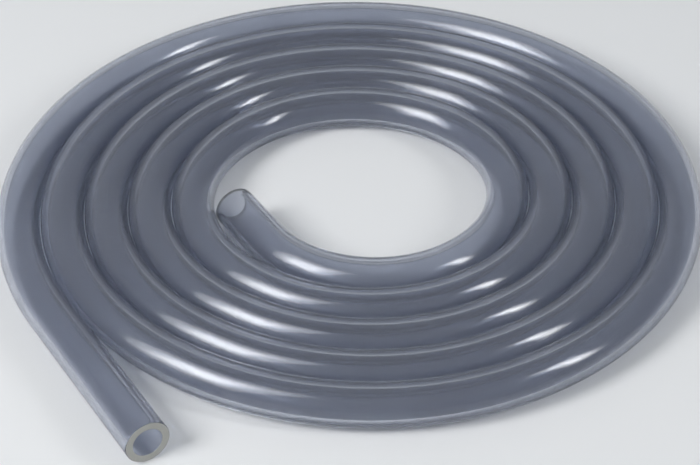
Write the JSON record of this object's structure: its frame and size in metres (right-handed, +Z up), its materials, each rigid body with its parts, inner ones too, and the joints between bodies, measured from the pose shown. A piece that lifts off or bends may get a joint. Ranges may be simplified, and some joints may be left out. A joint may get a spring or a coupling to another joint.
{
  "type": "silicone tubing coil",
  "caption": "Length of clear soft silicone tube with a round bore, wound flat in a single-layer spiral, with both ends cut square and bare.",
  "frame": {"origin": "centre of the box around the coil, on the surface that the coil lies on", "axes": "+Z up, along the axis of the coil; -Y towards the viewer, the side that the outer end points to; +X to the viewer's right"},
  "size_m": [0.1988, 0.2034, 0.012],
  "materials": {
    "clear_silicone": "clear, slightly milky, smooth and glossy, with matte cut ends"
  },
  "bodies": {
    "root": {"silicone_tube": "clear_silicone"}
  },
  "joints": []
}
